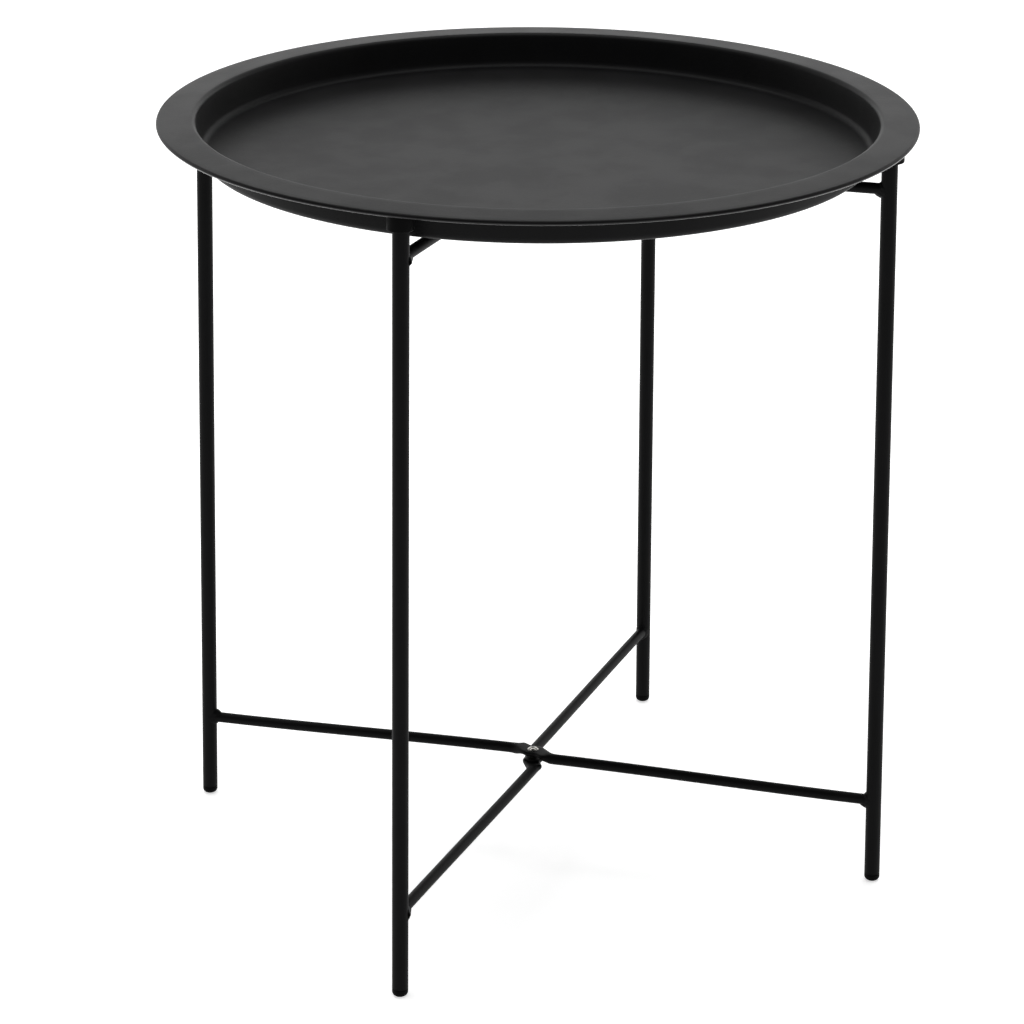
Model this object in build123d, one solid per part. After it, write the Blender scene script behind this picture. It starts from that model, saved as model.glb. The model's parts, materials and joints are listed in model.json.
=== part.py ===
from build123d import *

import math
import os

# A folding side table. A lift-off round metal tray rests on two welded leg frames. Each frame is two
# leaning tube legs joined by a lower and an upper crossbar. The frames cross, and a rivet through the
# middle of each pair of crossbars lets them scissor about one vertical axis.
#
# Millimetres. +Z is up, the front is towards -Y, and the origin is on the floor under the tray's centre.
# Each half frame is drawn in axes of its own and then turned about Z: u runs out from the pivot along
# the frame, v runs across it, and z is up.

# --- tray ---
TRAY_RADIUS = 235.0
TRAY_EDGE_HEIGHT = 498.0
SHEET = 0.8
HEM_RADIUS = 1.4
RIM_SLOPE = math.radians(2.3)
DISH_FLOOR_HEIGHT = 477.0
DISH_FLOOR_RADIUS = 208.0
WALL_LEAN = math.radians(8.1)
DISH_FILLET = 4.5
MOUTH_FILLET = 3.0

# --- legs ---
LEG_RADIUS = 5.0
LEG_BORE_RADIUS = 4.0
FOOT_REACH = 231.0
HEAD_REACH = 220.0
FOOT_CAP_HEIGHT = 5.0
LEG_LENGTH = 492.0
SPIGOT_RADIUS = 3.97
SPIGOT_LENGTH = 12.0
FOOT_ROUNDING = 3.0

# --- rim rests, the moulded caps pushed over the leg tops ---
REST_RADIUS = 7.9
REST_ECCENTRICITY = 0.9
REST_BASE = 484.6
REST_BORE_RADIUS = 5.02
REST_ROUNDING = 0.8
REST_GAP = 0.05
REST_RELIEF_RADIUS = 215.5
REST_RELIEF = 1.5

# --- crossbars ---
BAR_RADIUS = 3.5
LOWER_BAR_HEIGHT = 56.5
UPPER_BAR_HEIGHT = 467.6
FRAME_SHIFT = 5.25
PAD_WIDTH = 12.4
PAD_THICKNESS = 3.0
PAD_REACH = 2.8
JOGGLE_REACH = 14.0
ROD_LAP = 0.2
WELD_RING_RADIUS = 3.7
WELD_THROAT = 1.6

# --- how far each crossbar bows out of level: its welds, the rod's inner end and the lower pad ---
WELD_RISE = {
    "lower": {"under": 0.0, "over": 0.9},
    "upper": {"under": 0.0, "over": 0.0},
}
ROD_RISE = {
    "lower": {"under": -1.4, "over": 3.6},
    "upper": {"under": -1.6, "over": 2.6},
}
UNDER_PAD_RISE = {"lower": -1.1, "upper": -2.6}

# --- pivots ---
SPACER_RADIUS = 5.5
SPACER_HEIGHT = 3.35
SHANK_RADIUS = 2.0
RUNNING_GAP = 0.05
HEAD_RADIUS = 3.6
HEAD_HEIGHT = 1.5
DIMPLE_RADIUS = 1.2
DIMPLE_DEPTH = 0.7
SHOP_HEAD_RADIUS = 3.5
SHOP_HEAD_HEIGHT = 1.7

# --- the two frames: where their front legs point, and which way their legs step aside ---
FRAMES = {
    "under": {"azimuth": -138.85, "shift": FRAME_SHIFT, "legs": ("front_left", "rear_right")},
    "over": {"azimuth": -41.15, "shift": -FRAME_SHIFT, "legs": ("front_right", "rear_left")},
}
BARS = {"lower": LOWER_BAR_HEIGHT, "upper": UPPER_BAR_HEIGHT}

STACK_STEP = PAD_THICKNESS + SPACER_HEIGHT + RUNNING_GAP
LEAN = math.atan2(FOOT_REACH - HEAD_REACH, TRAY_EDGE_HEIGHT)


def crossing(start, along, other, other_along):
    """The point where two lines in the plane cross."""
    span = other[0] - start[0], other[1] - start[1]
    turn = along[0] * other_along[1] - along[1] * other_along[0]
    step = (span[0] * other_along[1] - span[1] * other_along[0]) / turn
    return start[0] + step * along[0], start[1] + step * along[1]


def shifted(point, along, depth):
    """The point moved to the right of its line, which is into the sheet."""
    return point[0] + depth * along[1], point[1] - depth * along[0]


def sheet_surface(depth):
    """The tray's outline at a depth below its upper face: floor, wall, rim and rolled hem."""
    hem = TRAY_RADIUS - HEM_RADIUS, TRAY_EDGE_HEIGHT - HEM_RADIUS
    roll = HEM_RADIUS - depth
    rim_end = hem[0] + roll * math.sin(RIM_SLOPE), hem[1] + roll * math.cos(RIM_SLOPE)
    floor_along = 1.0, 0.0
    wall_along = math.sin(WALL_LEAN), math.cos(WALL_LEAN)
    rim_along = math.cos(RIM_SLOPE), -math.sin(RIM_SLOPE)
    centre = shifted((0.0, DISH_FLOOR_HEIGHT), floor_along, depth)
    wall_start = shifted((DISH_FLOOR_RADIUS, DISH_FLOOR_HEIGHT), wall_along, depth)
    wall_foot = crossing(centre, floor_along, wall_start, wall_along)
    mouth = crossing(wall_start, wall_along, rim_end, rim_along)
    fillets = [DISH_FILLET + depth, MOUTH_FILLET - depth]
    sheet = FilletPolyline(centre, wall_foot, mouth, rim_end, radius=fillets)
    low_side = hem[0] + roll * math.sqrt(0.5), hem[1] - roll * math.sqrt(0.5)
    tip = hem[0] - roll, hem[1]
    return sheet, ThreePointArc(rim_end, low_side, tip), centre, tip


def make_tray():
    upper_sheet, upper_roll, upper_centre, upper_tip = sheet_surface(0.0)
    lower_sheet, lower_roll, lower_centre, lower_tip = sheet_surface(SHEET)
    axis_side = Line(upper_centre, lower_centre)
    tip_side = Line(upper_tip, lower_tip)
    outline = upper_sheet + upper_roll + tip_side + lower_roll + lower_sheet + axis_side
    return revolve(Plane.XZ * make_face(outline.edges()), axis=Axis.Z)


def leg_plane(shift):
    """The leg's own axes: origin on the floor, X outwards and Z up the leaning tube."""
    return Plane(
        origin=(FOOT_REACH, shift, 0),
        x_dir=(math.cos(LEAN), 0, math.sin(LEAN)),
        z_dir=(-math.sin(LEAN), 0, math.cos(LEAN)),
    )


def rod_between(radius, low, high):
    """A rod about Z from one height to another."""
    return Pos(0, 0, low) * Cylinder(radius, high - low, align=(Align.CENTER, Align.CENTER, Align.MIN))


def make_leg(shift):
    wall = rod_between(LEG_RADIUS, FOOT_CAP_HEIGHT, LEG_LENGTH)
    bore = rod_between(LEG_BORE_RADIUS, FOOT_CAP_HEIGHT, LEG_LENGTH)
    return leg_plane(shift) * (wall - bore)


def make_foot(shift):
    """A plug whose sole is flat on the floor and rounded at its edge."""
    sole = leg_plane(shift) * rod_between(LEG_RADIUS, -FOOT_CAP_HEIGHT, FOOT_CAP_HEIGHT)
    below_floor = Pos(FOOT_REACH, shift, 0) * Box(
        60, 60, 20, align=(Align.CENTER, Align.CENTER, Align.MAX)
    )
    sole = sole - below_floor
    sole = fillet(sole.edges().sort_by(Axis.Z)[0], FOOT_ROUNDING)
    spigot_end = FOOT_CAP_HEIGHT + SPIGOT_LENGTH
    spigot = leg_plane(shift) * rod_between(SPIGOT_RADIUS, FOOT_CAP_HEIGHT - 1, spigot_end)
    return sole + spigot


def rim_underside(radius):
    hem_radius = TRAY_RADIUS - HEM_RADIUS
    return TRAY_EDGE_HEIGHT - SHEET / math.cos(RIM_SLOPE) + (hem_radius - radius) * math.tan(RIM_SLOPE)


def make_rim_rest(shift):
    """A cap over the leg's top: the rim lies on it, and the hem drops round its outer side."""
    top = TRAY_EDGE_HEIGHT + REST_RADIUS
    cap = leg_plane(shift) * Pos(REST_ECCENTRICITY, 0, 0) * rod_between(REST_RADIUS, REST_BASE, top)
    cap = fillet(cap.edges().sort_by(Axis.Z)[0], REST_ROUNDING)
    inner = HEAD_REACH - 2 * REST_RADIUS
    outer = HEAD_REACH + 2 * REST_RADIUS
    bottom = REST_BASE - REST_RADIUS
    below_rim = Polyline(
        (inner, bottom),
        (outer, bottom),
        (outer, rim_underside(outer) - REST_GAP),
        (REST_RELIEF_RADIUS, rim_underside(REST_RELIEF_RADIUS) - REST_GAP),
        (inner, rim_underside(inner) - REST_RELIEF * (REST_RELIEF_RADIUS - inner) / REST_RADIUS),
        close=True,
    )
    cap = cap & revolve(Plane.XZ * make_face(below_rim.edges()), axis=Axis.Z)
    return cap - leg_plane(shift) * rod_between(REST_BORE_RADIUS, bottom, LEG_LENGTH)


def ease(value):
    """A smooth step from 0 to 1."""
    value = min(max(value, 0.0), 1.0)
    return value * value * (3 - 2 * value)


def pad_height(bar_name, frame_name):
    """The height of a pad's middle plane."""
    under = BARS[bar_name] + UNDER_PAD_RISE[bar_name]
    return under if frame_name == "under" else under + STACK_STEP


def joggle_section(along, shift, pad, rod):
    """The bar's section between the flat pad (along 0) and the round rod (along 1), given their heights."""
    sideways = ease(along / 0.6)
    rounding = ease((along - 0.3) / 0.7)
    half_width = BAR_RADIUS + (PAD_WIDTH / 2 - BAR_RADIUS) * (1 - ease(along / 0.75))
    half_depth = BAR_RADIUS + (PAD_THICKNESS / 2 - BAR_RADIUS) * (1 - rounding)
    power = 0.5 + 0.5 * rounding
    inset = 0.98
    points = []
    for turn in range(32):
        angle = 2 * math.pi * turn / 32
        across = math.copysign(abs(math.cos(angle)) ** power, math.cos(angle))
        up = math.copysign(abs(math.sin(angle)) ** power, math.sin(angle))
        points.append((inset * half_width * across, inset * half_depth * up))
    u = PAD_REACH - 1 + along * (JOGGLE_REACH - PAD_REACH + 1)
    plane = Plane(
        origin=(u, shift * sideways, pad + (rod - pad) * rounding), x_dir=(0, 1, 0), z_dir=(1, 0, 0)
    )
    return plane * make_face(Spline(points, periodic=True))


def leg_reach(height):
    """How far out the leg's axis is at a height."""
    return FOOT_REACH - height * math.tan(LEAN)


def make_rod(bar_name, frame_name, shift):
    """The round rod, which slopes a little from its inner end to the leg's axis."""
    inner = BARS[bar_name] + ROD_RISE[bar_name][frame_name]
    outer = BARS[bar_name] + WELD_RISE[bar_name][frame_name]
    run = leg_reach(outer) - JOGGLE_REACH
    slope = Plane(origin=(JOGGLE_REACH, shift, inner), x_dir=(0, 1, 0), z_dir=(run, 0, outer - inner))
    return slope * rod_between(BAR_RADIUS, -ROD_LAP, run)


def make_half_bar(bar_name, frame_name, shift):
    """One half of a crossbar: rod, S-bend and flattened pad, saddled to its leg."""
    pad = pad_height(bar_name, frame_name)
    inner = BARS[bar_name] + ROD_RISE[bar_name][frame_name]
    rod = make_rod(bar_name, frame_name, shift)
    joggle = loft([joggle_section(step / 6, shift, pad, inner) for step in range(7)])
    pad_plane = Plane(origin=(0, 0, pad), x_dir=(0, 1, 0), z_dir=(1, 0, 0))
    flat = extrude(pad_plane * SlotOverall(PAD_WIDTH, PAD_THICKNESS), PAD_REACH)
    return rod + joggle + flat - leg_plane(shift) * rod_between(LEG_RADIUS, 0, LEG_LENGTH)


def make_crossbar(bar_name, frame_name, shift, hole_radius):
    half = make_half_bar(bar_name, frame_name, shift)
    bar = half + Rot(Z=180) * half
    height = BARS[bar_name]
    return bar - rod_between(hole_radius, height - 2 * PAD_WIDTH, height + 2 * PAD_WIDTH)


def make_weld(bar_name, frame_name, shift):
    """The bead round the bar's end, where it meets the leg."""
    height = BARS[bar_name] + WELD_RISE[bar_name][frame_name]
    ring = Pos(leg_reach(height) - LEG_RADIUS, shift, height) * Rot(Y=90) * Torus(WELD_RING_RADIUS, WELD_THROAT)
    leg = leg_plane(shift) * rod_between(LEG_RADIUS, 0, LEG_LENGTH)
    return ring - make_rod(bar_name, frame_name, shift) - leg


def make_spacer(bar_name):
    base = pad_height(bar_name, "under") + PAD_THICKNESS / 2
    top = base + SPACER_HEIGHT
    return rod_between(SPACER_RADIUS, base, top) - rod_between(SHANK_RADIUS + RUNNING_GAP, base, top)


def make_rivet(bar_name):
    """Shop head under the lower pad, shank, and a domed and dimpled head over the upper pad."""
    shop_top = pad_height(bar_name, "under") - PAD_THICKNESS / 2
    head_base = pad_height(bar_name, "over") + PAD_THICKNESS / 2 + RUNNING_GAP
    shop_head = rod_between(SHOP_HEAD_RADIUS, shop_top - SHOP_HEAD_HEIGHT, shop_top)
    shop_head = fillet(shop_head.edges().sort_by(Axis.Z)[0], 0.5 * SHOP_HEAD_HEIGHT)
    ball_radius = (HEAD_RADIUS**2 + HEAD_HEIGHT**2) / (2 * HEAD_HEIGHT)
    ball = Pos(0, 0, head_base + HEAD_HEIGHT - ball_radius) * Sphere(ball_radius)
    dome = ball & rod_between(2 * HEAD_RADIUS, head_base, head_base + 2 * HEAD_HEIGHT)
    shank = rod_between(SHANK_RADIUS, shop_top - SHOP_HEAD_HEIGHT / 2, head_base + HEAD_HEIGHT / 2)
    dimple_radius = (DIMPLE_RADIUS**2 + DIMPLE_DEPTH**2) / (2 * DIMPLE_DEPTH)
    dimple = Pos(0, 0, head_base + HEAD_HEIGHT - DIMPLE_DEPTH + dimple_radius) * Sphere(dimple_radius)
    return shop_head + shank + dome - dimple


def make_part():
    """Every sub-part by name."""
    parts = {"tray": make_tray()}
    for frame_name, frame in FRAMES.items():
        shift = frame["shift"]
        hole = SHANK_RADIUS if frame_name == "under" else SHANK_RADIUS + RUNNING_GAP
        for half_turn, leg_name in enumerate(frame["legs"]):
            turn = Rot(Z=frame["azimuth"] + 180 * half_turn)
            parts[f"leg_{leg_name}"] = turn * make_leg(shift)
            parts[f"foot_{leg_name}"] = turn * make_foot(shift)
            parts[f"rim_rest_{leg_name}"] = turn * make_rim_rest(shift)
        turn = Rot(Z=frame["azimuth"])
        for bar_name in BARS:
            bar = make_crossbar(bar_name, frame_name, shift, hole)
            weld = make_weld(bar_name, frame_name, shift)
            parts[f"{bar_name}_crossbar_{frame_name}"] = turn * bar
            parts[f"welds_{bar_name}_{frame_name}"] = Compound([turn * weld, turn * Rot(Z=180) * weld])
    for bar_name in BARS:
        parts[f"{bar_name}_pivot_spacer"] = make_spacer(bar_name)
        parts[f"{bar_name}_pivot_rivet"] = make_rivet(bar_name)
    return parts


os.makedirs("parts", exist_ok=True)
for name, shape in make_part().items():
    export_step(shape, f"parts/{name}.step")
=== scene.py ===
import json
import math

import bpy
from mathutils import Matrix, Vector, noise


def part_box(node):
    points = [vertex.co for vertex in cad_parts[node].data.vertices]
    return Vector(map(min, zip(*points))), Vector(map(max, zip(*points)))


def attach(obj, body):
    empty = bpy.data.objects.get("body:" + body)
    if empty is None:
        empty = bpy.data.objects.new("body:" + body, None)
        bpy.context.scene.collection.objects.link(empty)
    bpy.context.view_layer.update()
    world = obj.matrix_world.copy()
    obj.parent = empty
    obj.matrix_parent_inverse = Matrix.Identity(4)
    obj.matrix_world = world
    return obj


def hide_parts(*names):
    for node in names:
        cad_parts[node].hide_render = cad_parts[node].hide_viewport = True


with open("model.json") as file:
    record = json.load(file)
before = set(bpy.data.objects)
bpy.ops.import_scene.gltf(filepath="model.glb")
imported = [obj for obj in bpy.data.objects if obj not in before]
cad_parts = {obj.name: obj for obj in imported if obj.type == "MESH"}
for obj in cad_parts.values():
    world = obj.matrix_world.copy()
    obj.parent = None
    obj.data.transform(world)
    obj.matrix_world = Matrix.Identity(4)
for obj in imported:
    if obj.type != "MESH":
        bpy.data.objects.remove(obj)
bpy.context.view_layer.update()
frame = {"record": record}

# A folding side table: a pressed, powder-coated tray on two crossed frames of steel tube and rod.
# Metres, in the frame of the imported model. Each frame is drawn in half-frame axes, as its CAD is: u runs out
# from the pivot along the frame, v across it and z up; a matrix then turns them to the frame's azimuth.

MM = 0.001
TRAY_LOW, TRAY_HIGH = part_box("tray")

# --- tray ---
TRAY_RADIUS = TRAY_HIGH.x
SHEET = 0.8 * MM
DISH_FLOOR_HEIGHT = TRAY_LOW.z + SHEET
TRAY_EDGE_HEIGHT = DISH_FLOOR_HEIGHT + 21 * MM
DISH_FLOOR_RADIUS = 208 * MM
HEM_RADIUS = 1.4 * MM
HEM_GLOSS_DROP = 1.5 * MM
RIM_SLOPE = math.radians(2.3)
WALL_LEAN = math.radians(8.1)
DISH_FILLET = 4.5 * MM
MOUTH_FILLET = 3 * MM
HEM_TURN = math.radians(262)
SHEET_WAVE = 0.05 * MM
SHEET_WAVE_LENGTH = 90 * MM

# --- legs, glides and caps ---
LEG_RADIUS = 5 * MM
LEG_BORE_RADIUS = 4 * MM
FOOT_REACH = 231 * MM
HEAD_REACH = 220 * MM
LEAN = math.atan2(FOOT_REACH - HEAD_REACH, TRAY_EDGE_HEIGHT)
FRAME_SHIFT = 5.25 * MM
GLIDE_HEIGHT = 5 * MM
GLIDE_ROUNDING = 3 * MM
GLIDE_SPIGOT_RADIUS = 3.97 * MM
GLIDE_SPIGOT_TOP = 17 * MM
LEG_TOP = 492 * MM
EDGE_BREAK = 0.25 * MM
CAP_RADIUS = 7.9 * MM
CAP_ECCENTRICITY = 0.9 * MM
CAP_BASE = 484.6 * MM
CAP_BORE_RADIUS = 5.02 * MM
CAP_ROUNDING = 0.8 * MM
CAP_GAP = 0.08 * MM
CAP_RELIEF_RADIUS = 215.5 * MM
CAP_RELIEF_SLOPE = 1.5 / 7.9

# --- crossbars and welds ---
BAR_RADIUS = 3.5 * MM
BAR_HEIGHTS = {"lower": 56.5 * MM, "upper": 467.6 * MM}
PAD_WIDTH = 12.4 * MM
PAD_THICKNESS = 3 * MM
JOGGLE_START = 1.8 * MM
JOGGLE_END = 14 * MM
# The pad's inner edge runs out over more length than the joggle; longer, and folded bars would touch.
TAPER_END = 16.5 * MM
WELD_RISE = {
    "lower": {"under": 0.0, "over": 0.9 * MM},
    "upper": {"under": 0.0, "over": 0.0},
}
ROD_RISE = {
    "lower": {"under": -1.4 * MM, "over": 3.6 * MM},
    "upper": {"under": -1.6 * MM, "over": 2.6 * MM},
}
UNDER_PAD_RISE = {"lower": -1.1 * MM, "upper": -2.6 * MM}
BUSH_HEIGHT = 3.35 * MM
FORGING_MARK = 0.06 * MM
WELD_SIDE = {"lower": 1.5 * MM, "upper": 1.1 * MM}
WELD_RIPPLES = 11
WELD_HOLLOW = 1.5
WELD_LUMP = 0.22
WELD_RIPPLE = 0.07
WELD_BITE = 0.5 * MM
WELD_LAP = 0.4 * MM
WELD_UP_TUBE = 1.1 * MM
WELD_ALONG_BAR = 2.7 * MM
# Where each leg's beads are heavy: degrees round the bar from its v axis, and how much.
WELD_HEAVY = {
    "front_left": (-34, 1.6),
    "front_right": (-90, 1.0),
    "rear_left": (90, 0.7),
    "rear_right": (-90, 0.8),
}

# --- pivots ---
SHANK_RADIUS = 2 * MM
RUNNING_GAP = 0.05 * MM
BUSH_RADIUS = 5.5 * MM
BUSH_NECK_RADIUS = 5.3 * MM
BUSH_FLANGE = 0.9 * MM
HEAD_RADIUS = 3.6 * MM
HEAD_HEIGHT = 1.3 * MM
DIMPLE_RADIUS = 1.3 * MM
DIMPLE_DEPTH = 0.75 * MM
SHOP_HEAD_RADIUS = 3.5 * MM
SHOP_HEAD_HEIGHT = 1.7 * MM

FRAMES = {
    "under": ("front_left", "rear_right"),
    "over": ("front_right", "rear_left"),
}

# --- studio ---
CAMERA_PLACE = (-0.9027, -1.7551, 1.0113)
CAMERA_HEADING = math.radians(26.79)
CAMERA_PITCH = math.radians(21.52)
CAMERA_ROLL = math.radians(-0.27)
CAMERA_LENS = 115.1
CAMERA_SENSOR = 36
BACKDROP_SIDE = (math.sin(CAMERA_HEADING), math.cos(CAMERA_HEADING), 0)
BACKDROP_SPREAD = (-0.35, 0.75)
BACKDROP_TOP = (0.2, 0.6)
BACK_LEVEL = 1.9
FRONT_LEVEL = 0.25
OVERHEAD_LEVEL = 0.3
FLOOR_HALF_WIDTH = 25.0
FLOOR_DROP = 0.1 * MM
FLOOR_SHADE = 0.86
FLOOR_GLOW = 0.55
SOFTBOX_PLACE = (0.2, 0.5, 3.2)
SOFTBOX_TARGET = (0, 0, 0.2)
SOFTBOX_WIDTH = 3.2
SOFTBOX_POWER = 95


# ---------------------------------------------------------------- camera, light and floor

def make_camera():
    """A long lens from front left, looking down at the tray."""
    turn, tip, roll = CAMERA_HEADING, CAMERA_PITCH, CAMERA_ROLL
    ahead = Vector((math.sin(turn) * math.cos(tip), math.cos(turn) * math.cos(tip), -math.sin(tip)))
    level = Vector((math.cos(turn), -math.sin(turn), 0))
    down = ahead.cross(level)
    right = math.cos(roll) * level + math.sin(roll) * down
    down = math.cos(roll) * down - math.sin(roll) * level
    axes = Matrix((right, -down, -ahead)).transposed().to_4x4()
    data = bpy.data.cameras.new("camera")
    data.lens = CAMERA_LENS
    data.sensor_width = CAMERA_SENSOR
    data.clip_start = 0.05
    data.clip_end = 60
    camera = bpy.data.objects.new("camera", data)
    camera.matrix_world = Matrix.Translation(Vector(CAMERA_PLACE)) @ axes
    bpy.context.scene.collection.objects.link(camera)
    bpy.context.scene.camera = camera


def make_softbox(name, place, target, size, power):
    """A square area lamp that shines on a point."""
    data = bpy.data.lights.new(name, "AREA")
    data.shape = "SQUARE"
    data.size = size
    data.energy = power
    lamp = bpy.data.objects.new(name, data)
    lamp.location = place
    lamp.rotation_mode = "QUATERNION"
    lamp.rotation_quaternion = (Vector(target) - Vector(place)).to_track_quat("-Z", "Y")
    bpy.context.scene.collection.objects.link(lamp)


def make_world():
    """A bright backdrop behind the table, dim in front and dimmer overhead, and plain white to look at."""
    world = bpy.data.worlds.new("studio")
    world.use_nodes = True
    tree = world.node_tree
    tree.nodes.clear()
    add = Nodes(tree)
    direction = add("TexCoord").outputs["Generated"]
    split = add("SeparateXYZ", Vector=direction)
    towards_back = add("VectorMath", operation="DOT_PRODUCT", Vector=direction, Vector_001=BACKDROP_SIDE)
    behind = add.ramp(towards_back.outputs["Value"], *BACKDROP_SPREAD, FRONT_LEVEL, BACK_LEVEL)
    falloff = add.ramp(split.outputs["Z"], *BACKDROP_TOP, 1.0, 0.0)
    backdrop = add("Math", operation="MULTIPLY", Value=behind, Value_001=falloff)
    light = add("Math", operation="ADD", Value=backdrop.outputs[0], Value_001=OVERHEAD_LEVEL)
    seen = add("LightPath").outputs["Is Camera Ray"]
    strength = add("Mix", Factor=seen, A=light.outputs[0], B=1.0)
    background = add("Background", Color=(1, 1, 1, 1), Strength=strength.outputs["Result"])
    add("OutputWorld", Surface=background.outputs["Background"])
    bpy.context.scene.world = world


class Nodes:
    """Adds shader nodes: settings are lower case, and inputs are named with a capital."""

    def __init__(self, tree):
        self.tree = tree

    def __call__(self, kind, **values):
        node = self.tree.nodes.new("ShaderNode" + kind)
        used = {}
        for key, value in values.items():
            if key[0].islower():
                setattr(node, key, value)
                continue
            name = key.split("_0")[0].replace("_", " ")
            wanted = [socket for socket in node.inputs if socket.name == name and socket.enabled]
            turn = used.get(name, 0)
            used[name] = turn + 1
            self.feed(wanted[turn], value)
        return node

    def feed(self, socket, value):
        if isinstance(value, bpy.types.NodeSocket):
            self.tree.links.new(value, socket)
        else:
            socket.default_value = value

    def ramp(self, value, low, high, at_low, at_high):
        """A smooth step of a value into a range."""
        node = self("MapRange", interpolation_type="SMOOTHSTEP")
        self.feed(node.inputs["Value"], value)
        names = {"From Min": low, "From Max": high, "To Min": at_low, "To Max": at_high}
        for name, number in names.items():
            self.feed(node.inputs[name], number)
        return node.outputs["Result"]


def make_floor():
    """A wide pale floor at the soles."""
    half = FLOOR_HALF_WIDTH
    corners = [(-half, -half, 0), (half, -half, 0), (half, half, 0), (-half, half, 0)]
    mesh = bpy.data.meshes.new("studio_floor")
    mesh.from_pydata(corners, [], [(0, 1, 2, 3)])
    floor = bpy.data.objects.new("studio_floor", mesh)
    floor.location.z = -FLOOR_DROP
    bpy.context.scene.collection.objects.link(floor)
    material = new_material("pale_floor")
    add = Nodes(material.node_tree)
    add.tree.nodes.clear()
    paint = add("BsdfDiffuse", Color=(FLOOR_SHADE, FLOOR_SHADE, FLOOR_SHADE, 1))
    glow = add("Emission", Color=(1, 1, 1, 1), Strength=FLOOR_GLOW)
    both = add("AddShader")
    add.feed(both.inputs[0], paint.outputs[0])
    add.feed(both.inputs[1], glow.outputs[0])
    add("OutputMaterial", Surface=both.outputs[0])
    mesh.materials.append(material)


# ---------------------------------------------------------------- materials

def new_material(name):
    material = bpy.data.materials.new(name)
    material.use_nodes = True
    return material


def grained_material(name, colours, roughness, index, grain, blotch, metal=0.0):
    """A coated, moulded or bare surface: blotches of colour and gloss over a fine grain of bumps.

    The grain is (fine size, coarse size, fine bump, coarse bump); colours and roughness are (dark, light).
    """
    material = new_material(name)
    add = Nodes(material.node_tree)
    shader = material.node_tree.nodes["Principled BSDF"]
    place = add("TexCoord").outputs["Object"]
    cloud = add("TexNoise", Vector=place, Scale=1 / blotch, Detail=4.0, Roughness=0.6)
    speck = add("TexNoise", Vector=place, Scale=1 / grain[0], Detail=3.0, Roughness=0.65)
    peel = add("TexVoronoi", feature="SMOOTH_F1", Vector=place, Scale=1 / grain[1])
    tone = add.ramp(cloud.outputs[0], 0.3, 0.7, 0.0, 1.0)
    fleck = add.ramp(speck.outputs[0], 0.35, 0.75, 0.0, 0.35)
    mixed = add("Math", operation="ADD", Value=tone, Value_001=fleck)
    colour = add("Mix", data_type="RGBA", Factor=mixed.outputs[0], A=colours[0], B=colours[1])
    gloss = add.ramp(mixed.outputs[0], 0.0, 1.3, roughness[0], roughness[1])
    fine = add("Bump", Strength=grain[2], Distance=grain[0] * 0.2, Height=speck.outputs[0])
    coarse = add("Bump", Strength=grain[3], Distance=grain[1] * 0.1, Height=peel.outputs["Distance"])
    add.feed(coarse.inputs["Normal"], fine.outputs[0])
    add.feed(shader.inputs["Base Color"], colour.outputs["Result"])
    add.feed(shader.inputs["Roughness"], gloss)
    add.feed(shader.inputs["Normal"], coarse.outputs[0])
    shader.inputs["IOR"].default_value = index
    shader.inputs["Metallic"].default_value = metal
    return material


def powder_coat(name, lift, index):
    """Black satin powder coat, with orange peel and slow variation of gloss."""
    dark = (0.0017 * lift, 0.0017 * lift, 0.0018 * lift, 1)
    light = (0.0027 * lift, 0.0027 * lift, 0.0029 * lift, 1)
    grain = (0.35 * MM, 1.6 * MM, 0.25, 0.12)
    return grained_material(name, (dark, light), (0.46, 0.50), index, grain, 35 * MM)


def rolled_coat():
    """The same coat where the hem is rolled: drawn thin and glossier."""
    colours = [(0.0018, 0.0018, 0.0019, 1), (0.0028, 0.0028, 0.0030, 1)]
    grain = (0.35 * MM, 1.6 * MM, 0.12, 0.06)
    return grained_material("hem_powder_coat", colours, (0.13, 0.21), 1.32, grain, 35 * MM)


def plastic_with_painted_shade():
    """Black nylon with a spark-eroded grain. Its colour is darkened past the nylon's own as painted shade, for
    the caps in the shade under the tray's rim; the glides share it.
    """
    # Painted shade: these colours are darker than black nylon, standing in for the shade that the rim casts on
    # the caps.
    colours = [(0.0012, 0.0012, 0.0012, 1), (0.0021, 0.0021, 0.0021, 1)]
    grain = (0.3 * MM, 0.9 * MM, 0.4, 0.2)
    return grained_material("plastic_with_painted_shade_finish", colours, (0.46, 0.6), 1.11, grain, 9 * MM)


def bush_plastic():
    """Black acetal, smoother than the caps."""
    colours = [(0.003, 0.003, 0.0028, 1), (0.006, 0.006, 0.0055, 1)]
    grain = (0.25 * MM, 0.8 * MM, 0.3, 0.15)
    return grained_material("bush_plastic_finish", colours, (0.32, 0.44), 1.22, grain, 4 * MM)


def plated_steel():
    """Bright nickel plate over turning marks, rings about the pivot."""
    colours = [(0.24, 0.233, 0.215, 1), (0.40, 0.39, 0.365, 1)]
    grain = (0.2 * MM, 0.7 * MM, 0.2, 0.1)
    material = grained_material("rivet_plate", colours, (0.16, 0.3), 1.5, grain, 2 * MM, 1.0)
    add = Nodes(material.node_tree)
    shader = material.node_tree.nodes["Principled BSDF"]
    place = add("TexCoord").outputs["Object"]
    rings = add("TexWave", wave_type="RINGS", rings_direction="Z", Vector=place, Scale=1100.0, Distortion=0.4)
    turned = add("Bump", Strength=0.12, Distance=0.03 * MM, Height=rings.outputs["Fac"])
    before = shader.inputs["Normal"].links[0].from_socket
    add.feed(turned.inputs["Normal"], before)
    add.feed(shader.inputs["Normal"], turned.outputs[0])
    return material


# ---------------------------------------------------------------- mesh helpers

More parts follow.
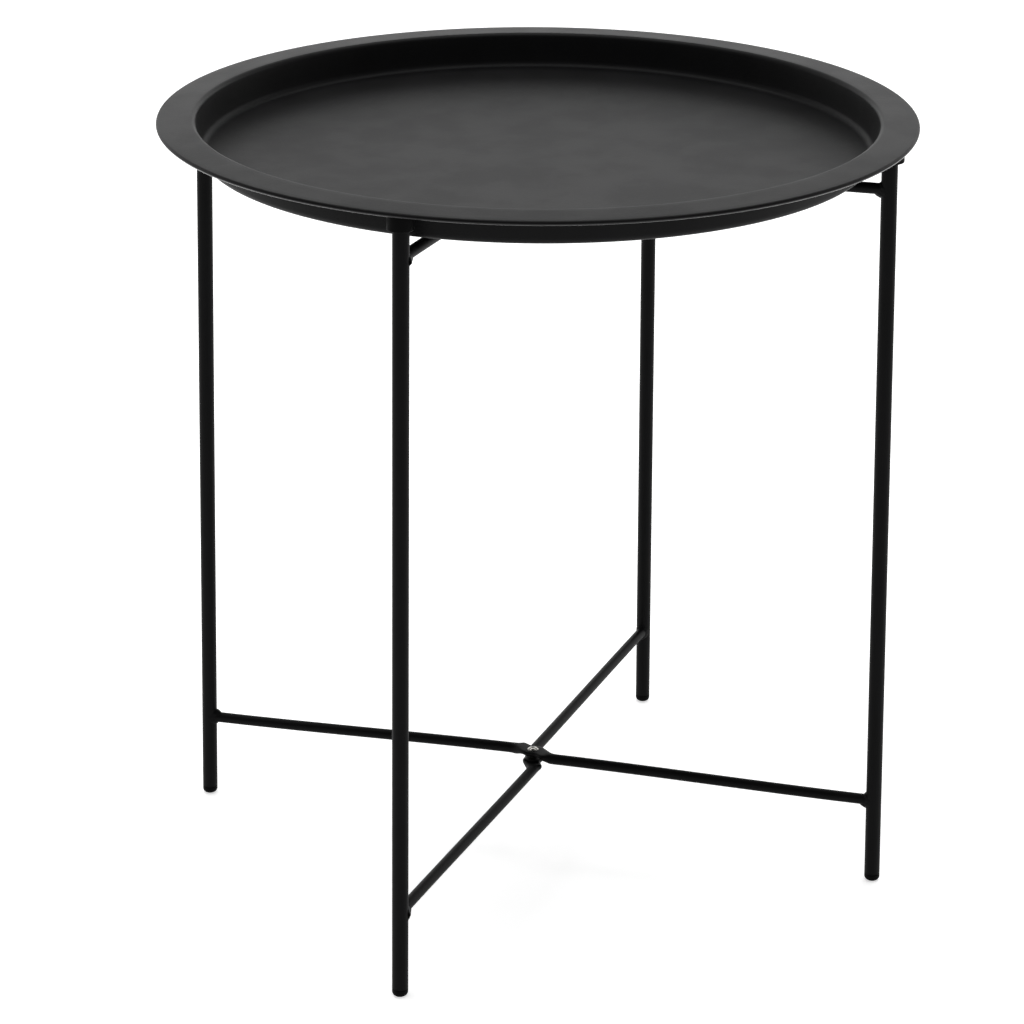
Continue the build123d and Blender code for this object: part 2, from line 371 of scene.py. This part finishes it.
def skin(rings, loop=False):
    """A closed surface over rings of equal count, capped at both ends or closed as a loop."""
    count = len(rings[0])
    points = [point for ring in rings for point in ring]
    faces = []
    spans = len(rings) if loop else len(rings) - 1
    for span in range(spans):
        this = span * count
        after = (span + 1) % len(rings) * count
        for step in range(count):
            beside = (step + 1) % count
            faces.append((this + step, this + beside, after + beside, after + step))
    if not loop:
        for start, turned in ((0, True), ((len(rings) - 1) * count, False)):
            ring = points[start:start + count]
            centre = len(points)
            points.append(sum(ring, Vector()) / count)
            for step in range(count):
                beside = (step + 1) % count
                pair = (start + beside, start + step) if turned else (start + step, start + beside)
                faces.append((*pair, centre))
    return points, faces


def merged(shells):
    """Several closed surfaces as one list of points and faces."""
    points, faces = [], []
    for shell_points, shell_faces in shells:
        first = len(points)
        points += shell_points
        faces += [tuple(first + corner for corner in face) for face in shell_faces]
    return points, faces


def piece(name, surface, placement, material, body, node, crease=38):
    """A closed mesh in place of a CAD node, riding that node's body."""
    points, faces = surface
    mesh = bpy.data.meshes.new(name)
    mesh.from_pydata([placement @ point for point in points], [], faces)
    mesh.polygons.foreach_set("use_smooth", [True] * len(faces))
    mesh.update()
    outwards(mesh)
    mesh.set_sharp_from_angle(angle=math.radians(crease))
    mesh.materials.append(material)
    made = bpy.data.objects.new(name, mesh)
    bpy.context.scene.collection.objects.link(made)
    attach(made, body)
    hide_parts(node)
    return made


def outwards(mesh):
    """Turns the faces so that they look out of the solid."""
    volume = 0.0
    for face in mesh.polygons:
        corners = [mesh.vertices[corner].co for corner in face.vertices]
        for second, third in zip(corners[1:], corners[2:]):
            volume += corners[0].dot(second.cross(third))
    if volume < 0:
        mesh.flip_normals()


def turned_ring(radius, height, count):
    """A circle about Z."""
    angles = [2 * math.pi * step / count for step in range(count)]
    return [Vector((radius * math.cos(angle), radius * math.sin(angle), height)) for angle in angles]


def lathe(profile, count, loop=False):
    """A profile of (radius, height) turned about Z."""
    return skin([turned_ring(radius, height, count) for radius, height in profile], loop)


def arc(centre, radius, start, end, steps):
    """Points on a circle's arc, angles in radians."""
    angles = [start + (end - start) * step / steps for step in range(steps + 1)]
    return [(centre[0] + radius * math.cos(angle), centre[1] + radius * math.sin(angle)) for angle in angles]


def ease(value):
    """A smooth step from 0 to 1."""
    value = min(max(value, 0.0), 1.0)
    return value * value * (3 - 2 * value)


def grain_at(point, size, seed):
    """Smooth noise of about plus or minus 1, the same at every run."""
    return noise.noise(point / size + Vector((seed, 2.7 * seed, -1.3 * seed)))


# ---------------------------------------------------------------- tray

def corner_arc(before, corner, after, radius, steps):
    """The arc that rounds a corner of an outline."""
    before, corner, after = Vector(before), Vector(corner), Vector(after)
    into = (before - corner).normalized()
    out = (after - corner).normalized()
    half = into.angle(out) / 2
    centre = corner + (into + out).normalized() * radius / math.sin(half)
    first = corner + into * radius / math.tan(half) - centre
    last = corner + out * radius / math.tan(half) - centre
    turn = first.angle_signed(last)
    turns = [turn * step / steps for step in range(steps + 1)]
    return [tuple(centre + Matrix.Rotation(-angle, 2) @ first) for angle in turns]


def divided(start, end, spacing):
    """The points between two points, no further apart than the spacing."""
    start, end = Vector(start), Vector(end)
    steps = max(1, math.ceil((end - start).length / spacing))
    return [tuple(start.lerp(end, step / steps)) for step in range(1, steps)]


def sheet_outline(depth):
    """The tray's section at a depth below its upper face, from the centre out and round the rolled hem."""
    hem = TRAY_RADIUS - HEM_RADIUS, TRAY_EDGE_HEIGHT - HEM_RADIUS
    roll = HEM_RADIUS - depth
    rim_end = hem[0] + roll * math.sin(RIM_SLOPE), hem[1] + roll * math.cos(RIM_SLOPE)
    floor_height = DISH_FLOOR_HEIGHT - depth
    wall_reach = DISH_FLOOR_RADIUS + depth / math.cos(WALL_LEAN) - depth * math.tan(WALL_LEAN)
    foot = wall_reach, floor_height
    climb = math.tan(WALL_LEAN)
    fall = math.tan(RIM_SLOPE)
    rise = (rim_end[1] - foot[1] + (rim_end[0] - foot[0]) * fall) / (1 + climb * fall)
    mouth = foot[0] + rise * climb, foot[1] + rise
    centre = 8 * MM, floor_height
    floor_bend = corner_arc(centre, foot, mouth, DISH_FILLET + depth, 10)
    mouth_bend = corner_arc(foot, mouth, rim_end, MOUTH_FILLET - depth, 10)
    curl = arc(hem, roll, math.pi / 2 - RIM_SLOPE, math.pi / 2 - RIM_SLOPE - HEM_TURN, 22)
    outline = [centre, *divided(centre, floor_bend[0], 9 * MM), *floor_bend]
    outline += [*divided(floor_bend[-1], mouth_bend[0], 4 * MM), *mouth_bend]
    return outline + [*divided(mouth_bend[-1], rim_end, 4 * MM), *curl]


def make_tray(material, hem_material):
    """One pressed sheet, with a rolled hem and the faint waves of pressed metal."""
    upper = sheet_outline(0.0)
    lower = sheet_outline(SHEET)
    points, faces = lathe(upper + lower[::-1], 288)
    for point in points:
        reach = math.hypot(point.x, point.y)
        held = 1 - ease((reach - DISH_FLOOR_RADIUS * 0.8) / (DISH_FLOOR_RADIUS * 0.2))
        flat = Vector((point.x, point.y, 0))
        point.z += SHEET_WAVE * held * grain_at(flat, SHEET_WAVE_LENGTH, 3)
    tray = piece("tray_pressing", (points, faces), Matrix(), material, "tray", "tray")
    tray.data.materials.append(hem_material)
    for face in tray.data.polygons:
        outside = math.hypot(face.center.x, face.center.y) > TRAY_RADIUS - HEM_RADIUS
        face.material_index = int(outside and face.center.z < TRAY_EDGE_HEIGHT - HEM_GLOSS_DROP)


# ---------------------------------------------------------------- legs, glides and caps

def leg_ring(radius, along, shift, tilt=1.0, offset=0.0, count=48):
    """A circle round a leg, square to it or, at tilt 0, level. Offset moves it outwards."""
    lean = LEAN * tilt
    centre = Vector((FOOT_REACH - along * math.sin(LEAN), shift, along * math.cos(LEAN)))
    out = Vector((math.cos(lean), 0, math.sin(lean)))
    across = Vector((0, 1, 0))
    angles = [2 * math.pi * step / count for step in range(count)]
    return [
        centre + out * (offset + radius * math.cos(angle)) + across * (radius * math.sin(angle))
        for angle in angles
    ]


def leg_surface(shift):
    """A tube with its ends' edges broken."""
    low, high = GLIDE_HEIGHT, LEG_TOP
    outer = LEG_RADIUS
    profile = [(outer - EDGE_BREAK, low), (outer, low + EDGE_BREAK)]
    profile += [(outer, low + (high - low) * step / 12) for step in range(1, 12)]
    profile += [(outer, high - EDGE_BREAK), (outer - EDGE_BREAK, high)]
    profile += [(LEG_BORE_RADIUS, high), (LEG_BORE_RADIUS, low)]
    return skin([leg_ring(radius, along, shift) for radius, along in profile], loop=True)


def glide_surface(shift):
    """A foot plug: a level sole, a rounded edge, a shoulder under the tube and a spigot in its bore."""
    flat = LEG_RADIUS - GLIDE_ROUNDING
    profile = [(flat * 0.5, 0.0), *arc((flat, GLIDE_ROUNDING), GLIDE_ROUNDING, -math.pi / 2, 0, 8)]
    profile += [(LEG_RADIUS, GLIDE_HEIGHT - EDGE_BREAK), (LEG_RADIUS - EDGE_BREAK, GLIDE_HEIGHT)]
    profile += [(GLIDE_SPIGOT_RADIUS, GLIDE_HEIGHT), (GLIDE_SPIGOT_RADIUS, GLIDE_SPIGOT_TOP - MM)]
    profile += [(GLIDE_SPIGOT_RADIUS - MM, GLIDE_SPIGOT_TOP)]
    return skin(
        [leg_ring(radius, along, shift, ease(along / GLIDE_HEIGHT)) for radius, along in profile]
    )


def rim_underside(reach):
    """The height of the rim's lower face at a distance from the tray's axis."""
    hem_reach = TRAY_RADIUS - HEM_RADIUS
    return TRAY_EDGE_HEIGHT - SHEET / math.cos(RIM_SLOPE) + (hem_reach - reach) * math.tan(RIM_SLOPE)


def cap_top(point):
    """The point dropped onto the cap's top, which follows the rim and is relieved at the dish's mouth."""
    reach = math.hypot(point.x, point.y)
    relief = max(0.0, CAP_RELIEF_RADIUS - reach) * CAP_RELIEF_SLOPE
    return Vector((point.x, point.y, rim_underside(reach) - CAP_GAP - relief))


def cap_surface(shift):
    """A moulded cap over the leg's top: bore, rounded lip, wall and a top that the rim rests on."""
    rings = [leg_ring(CAP_BORE_RADIUS * 0.5, LEG_TOP, shift), leg_ring(CAP_BORE_RADIUS, LEG_TOP, shift)]
    rings.append(leg_ring(CAP_BORE_RADIUS, CAP_BASE + EDGE_BREAK, shift))
    rings.append(leg_ring(CAP_BORE_RADIUS + EDGE_BREAK, CAP_BASE, shift))
    lip_centre = CAP_RADIUS - CAP_ROUNDING, CAP_BASE + CAP_ROUNDING
    for radius, along in arc(lip_centre, CAP_ROUNDING, -math.pi / 2, 0, 6):
        rings.append(leg_ring(radius, along, shift, offset=CAP_ECCENTRICITY))
    high = leg_ring(CAP_RADIUS, TRAY_EDGE_HEIGHT, shift, offset=CAP_ECCENTRICITY)
    broken = [cap_top(point) - Vector((0, 0, 2 * EDGE_BREAK)) for point in high]
    rings.append(broken)
    inset = leg_ring(CAP_RADIUS - 2 * EDGE_BREAK, TRAY_EDGE_HEIGHT, shift, offset=CAP_ECCENTRICITY)
    rings.append([cap_top(point) for point in inset])
    for share in (0.75, 0.5, 0.25):
        ring = leg_ring(CAP_RADIUS * share, TRAY_EDGE_HEIGHT, shift, offset=CAP_ECCENTRICITY)
        rings.append([cap_top(point) for point in ring])
    return skin(rings)


# ---------------------------------------------------------------- crossbars and welds

def leg_reach(height):
    """How far out the leg's axis is at a height."""
    return FOOT_REACH - height * math.tan(LEAN)


def saddle_reach(across, height):
    """How far out the near side of the leg is, at a distance across from its axis."""
    across = min(abs(across), 0.97 * LEG_RADIUS)
    return leg_reach(height) - math.sqrt(LEG_RADIUS**2 - across**2) / math.cos(LEAN)


def pad_height(bar_name, frame_name):
    """The height of a pad's middle plane."""
    under = BAR_HEIGHTS[bar_name] + UNDER_PAD_RISE[bar_name]
    return under if frame_name == "under" else under + PAD_THICKNESS + BUSH_HEIGHT + RUNNING_GAP


def weld_height(bar_name, frame_name):
    """The height of a bar's axis at its legs."""
    return BAR_HEIGHTS[bar_name] + WELD_RISE[bar_name][frame_name]


def rod_height(bar_name, frame_name, reach):
    """The height of the rod's axis: it bows like a beam clamped at the leg and at the pivot."""
    outer = weld_height(bar_name, frame_name)
    inner = BAR_HEIGHTS[bar_name] + ROD_RISE[bar_name][frame_name]
    along = (abs(reach) - JOGGLE_END) / (leg_reach(outer) - LEG_RADIUS - JOGGLE_END)
    return inner + (outer - inner) * ease(along)


def bar_section(bar_name, frame_name, shift, reach, count=56):
    """The bar's section at a signed reach: flat pad, S-bend or round rod, as (v, z) pairs."""
    side = 1 if reach >= 0 else -1
    along = (abs(reach) - JOGGLE_START) / (JOGGLE_END - JOGGLE_START)
    rounding = ease((along - 0.3) / 0.7)
    taper = ease((abs(reach) - JOGGLE_START) / (TAPER_END - JOGGLE_START))
    half_pad = PAD_WIDTH / 2
    outer = abs(shift) * ease(along / 0.6) + BAR_RADIUS + (half_pad - BAR_RADIUS) * (1 - ease(along / 0.9))
    inner = (abs(shift) - BAR_RADIUS + half_pad) * taper - half_pad
    half_width = (outer - inner) / 2
    half_depth = BAR_RADIUS + (PAD_THICKNESS / 2 - BAR_RADIUS) * (1 - rounding)
    flat = half_width - half_depth
    pad = pad_height(bar_name, frame_name)
    middle = math.copysign((outer + inner) / 2, side * shift)
    height = pad + (rod_height(bar_name, frame_name, reach) - pad) * rounding
    section = []
    for step in range(count):
        angle = 2 * math.pi * step / count
        edge = min(max(2.4 * math.cos(angle), -1.0), 1.0)
        across = flat * edge + half_depth * math.cos(angle)
        section.append((middle + across, height + half_depth * math.sin(angle)))
    return section


def saddled_ring(section, side, share):
    """A ring of the bar's end face, lying on the leg's near side."""
    middle = Vector((sum(pair[0] for pair in section), sum(pair[1] for pair in section))) / len(section)
    ring = []
    for pair in section:
        across, up = middle + (Vector(pair) - middle) * share
        ring.append(Vector((side * saddle_reach(across - middle.x, up), across, up)))
    return ring


def bar_surface(bar_name, frame_name, shift):
    """A rod from leg to leg: saddled ends, and a forged joggle and pad in the middle."""
    rod_end = leg_reach(BAR_HEIGHTS[bar_name]) - 1.6 * LEG_RADIUS
    reaches = [JOGGLE_START * step / 4 for step in range(4)]
    reaches += [JOGGLE_START + (TAPER_END - JOGGLE_START) * step / 28 for step in range(29)]
    reaches += [TAPER_END + (rod_end - TAPER_END) * step / 24 for step in range(1, 25)]
    rings = []
    for reach in [-reach for reach in reaches[:0:-1]] + reaches:
        forged = FORGING_MARK * (1 - ease((abs(reach) - JOGGLE_END) / (8 * MM)))
        ring = []
        for across, up in bar_section(bar_name, frame_name, shift, reach):
            point = Vector((reach, across, up))
            point.z += forged * grain_at(point, 3.2 * MM, shift / MM)
            point.y += forged * grain_at(point, 3.8 * MM, 5 + shift / MM)
            ring.append(point)
        rings.append(ring)
    for side in (-1, 1):
        section = bar_section(bar_name, frame_name, shift, side * rod_end)
        ends = [saddled_ring(section, side, share) for share in (1, 0.75, 0.5, 0.25)]
        rings = ends[::-1] + rings if side < 0 else rings + ends
    return skin(rings)


def weld_surface(height, shift, side, bead, heavy, seed):
    """A bead laid round a bar's end: a ripple for each dab, and a heavier run on one side."""
    heavy_angle, heavy_share = math.radians(heavy[0]), heavy[1]
    around = 88
    rings = []
    for step in range(around):
        angle = 2 * math.pi * step / around
        gain = heavy_share * max(0.0, math.cos(angle - heavy_angle)) ** 3
        circle = Vector((math.cos(angle), math.sin(angle), 0))
        lump = grain_at(circle, 0.9, seed)
        swell = 1 + WELD_LUMP * lump + WELD_RIPPLE * math.cos(WELD_RIPPLES * angle + seed)
        up_tube = (bead + WELD_UP_TUBE * gain) * swell
        along_bar = (bead + WELD_ALONG_BAR * gain) * swell
        section = []
        for turn in range(9):
            slope = math.pi / 2 * turn / 8
            outward = BAR_RADIUS + up_tube * math.cos(slope) ** WELD_HOLLOW
            section.append((outward, along_bar * math.sin(slope) ** WELD_HOLLOW))
        section.append((BAR_RADIUS - WELD_BITE, along_bar * 0.9))
        section.append((BAR_RADIUS - WELD_BITE, -WELD_LAP))
        section.append((BAR_RADIUS + up_tube * 0.9, -WELD_LAP))
        ring = []
        for outward, inward in section:
            across = outward * math.cos(angle)
            up = outward * math.sin(angle)
            reach = saddle_reach(across, height + up) - inward
            ring.append(Vector((side * reach, side * shift + across, height + up)))
        rings.append(ring)
    points, faces = skin(rings, loop=True)
    # The bead at the far end is a mirror image, so its faces are turned back.
    return points, [face[::side] for face in faces]


# ---------------------------------------------------------------- pivots

def bush_surface(base, top):
    """A flanged bush: a thin rounded flange above a narrower neck."""
    bore = SHANK_RADIUS + RUNNING_GAP
    round_over = BUSH_FLANGE / 2
    rim = arc((BUSH_RADIUS - round_over, top - round_over), round_over, -math.pi / 2, math.pi / 2, 8)
    profile = [(bore, base), (BUSH_NECK_RADIUS + 0.4 * MM, base), (BUSH_NECK_RADIUS, base + 0.5 * MM)]
    profile.append((BUSH_NECK_RADIUS, top - BUSH_FLANGE - 0.2 * MM))
    profile.append((BUSH_NECK_RADIUS + 0.1 * MM, top - BUSH_FLANGE))
    profile += [*rim, (bore, top)]
    return lathe(profile, 64, loop=True)


def rivet_surface(shop_top, head_base):
    """A tubular rivet: rolled shop head below, shank, and a domed head with a punched dimple."""
    shop_low = shop_top - SHOP_HEAD_HEIGHT
    shop_round = SHOP_HEAD_HEIGHT / 2
    ball = (HEAD_RADIUS**2 + HEAD_HEIGHT**2) / (2 * HEAD_HEIGHT)
    ball_centre = head_base + HEAD_HEIGHT - ball
    rim_angle = math.asin((head_base - ball_centre) / ball)
    lip_angle = math.acos(DIMPLE_RADIUS / ball)
    dome = arc((0, ball_centre), ball, rim_angle, lip_angle, 14)
    lip_height = dome[-1][1]
    shares = (0.92, 0.75, 0.5, 0.25, 0.1)
    dimple = [(DIMPLE_RADIUS * share, lip_height - DIMPLE_DEPTH * (1 - share**2)) for share in shares]
    shop_edge = SHOP_HEAD_RADIUS - shop_round, shop_low + shop_round
    profile = [(0.8 * MM, shop_low + 0.5 * MM), (1.4 * MM, shop_low)]
    profile += arc(shop_edge, shop_round, -math.pi / 2, math.pi / 2, 10)
    profile += [(SHANK_RADIUS, shop_top), (SHANK_RADIUS, head_base), (HEAD_RADIUS - 0.15 * MM, head_base)]
    profile += dome + dimple
    return lathe(profile, 64)


# ---------------------------------------------------------------- assembly

def frame_azimuth(front_leg):
    """The direction of a frame's u axis, worked out from the sole of its front leg."""
    mounts = {mount["name"]: mount for mount in frame["record"]["mounts"]}
    x, y, _ = mounts[f"sole_{front_leg}"]["pos_m"]
    return math.atan2(y, x)


def make_frame(frame_name, coat, plastic):
    """One leg frame: two legs with glides and caps, and two crossbars with their welds."""
    legs = FRAMES[frame_name]
    body = f"{frame_name}_frame"
    shift = FRAME_SHIFT if frame_name == "under" else -FRAME_SHIFT
    azimuth = frame_azimuth(legs[0]) - math.atan2(shift, FOOT_REACH)
    for half_turn, leg in enumerate(legs):
        turn = Matrix.Rotation(azimuth + math.pi * half_turn, 4, "Z")
        piece(f"leg_tube_{leg}", leg_surface(shift), turn, coat, body, f"leg_{leg}")
        piece(f"glide_{leg}", glide_surface(shift), turn, plastic, body, f"foot_{leg}")
        piece(f"cap_{leg}", cap_surface(shift), turn, plastic, body, f"rim_rest_{leg}")
    turn = Matrix.Rotation(azimuth, 4, "Z")
    for bar_name in BAR_HEIGHTS:
        bar = bar_surface(bar_name, frame_name, shift)
        height = weld_height(bar_name, frame_name)
        name = f"{bar_name}_rod_{frame_name}"
        node = f"{bar_name}_crossbar_{frame_name}"
        bar_piece = piece(name, bar, turn, coat, body, node)
        drill(bar_piece, SHANK_RADIUS + RUNNING_GAP, height)
        beads = []
        for leg, side in zip(legs, (1, -1)):
            seed = side * 3 + (height + shift) / MM
            beads.append(weld_surface(height, shift, side, WELD_SIDE[bar_name], WELD_HEAVY[leg], seed))
        node = f"welds_{bar_name}_{frame_name}"
        piece(f"beads_{bar_name}_{frame_name}", merged(beads), turn, coat, body, node, 60)


def drill(target, radius, height):
    """The rivet's hole through a pad."""
    depth = PAD_WIDTH
    rings = [turned_ring(radius, height - depth, 48), turned_ring(radius, height + depth, 48)]
    mesh = bpy.data.meshes.new("drill")
    points, faces = skin(rings)
    mesh.from_pydata(points, [], faces)
    cutter = bpy.data.objects.new("drill", mesh)
    bpy.context.scene.collection.objects.link(cutter)
    cut = target.modifiers.new("rivet_hole", "BOOLEAN")
    cut.operation = "DIFFERENCE"
    cut.solver = "EXACT"
    cut.object = cutter
    bpy.context.view_layer.update()
    ready = target.evaluated_get(bpy.context.evaluated_depsgraph_get())
    drilled = bpy.data.meshes.new_from_object(ready)
    target.modifiers.clear()
    target.data = drilled
    bpy.data.objects.remove(cutter)


def make_pivot(bar_name, plastic, metal):
    """A rivet through both pads, and the bush between them."""
    pad = PAD_THICKNESS / 2
    under, over = pad_height(bar_name, "under"), pad_height(bar_name, "over")
    bush = bush_surface(under + pad, over - pad - RUNNING_GAP)
    rivet = rivet_surface(under - pad, over + pad + RUNNING_GAP)
    body = "under_frame"
    piece(f"{bar_name}_bush", bush, Matrix(), plastic, body, f"{bar_name}_pivot_spacer")
    piece(f"{bar_name}_rivet", rivet, Matrix(), metal, body, f"{bar_name}_pivot_rivet", 50)


make_camera()
bpy.context.scene.view_settings.view_transform = "Standard"
make_world()
make_floor()
make_softbox("overhead", SOFTBOX_PLACE, SOFTBOX_TARGET, SOFTBOX_WIDTH, SOFTBOX_POWER)

frame_coat = powder_coat("frame_powder_coat", 1.0, 1.150)
tray_coat = powder_coat("tray_powder_coat", 1.1, 1.164)
hem_coat = rolled_coat()
# Painted shade: the caps' and glides' plastic is darkened for the shade under the tray's rim.
cap_plastic_painted_shade = plastic_with_painted_shade()
pivot_plastic = bush_plastic()
rivet_plate = plated_steel()

make_tray(tray_coat, hem_coat)
for frame_name in FRAMES:
    make_frame(frame_name, frame_coat, cap_plastic_painted_shade)
for bar_name in BAR_HEIGHTS:
    make_pivot(bar_name, pivot_plastic, rivet_plate)
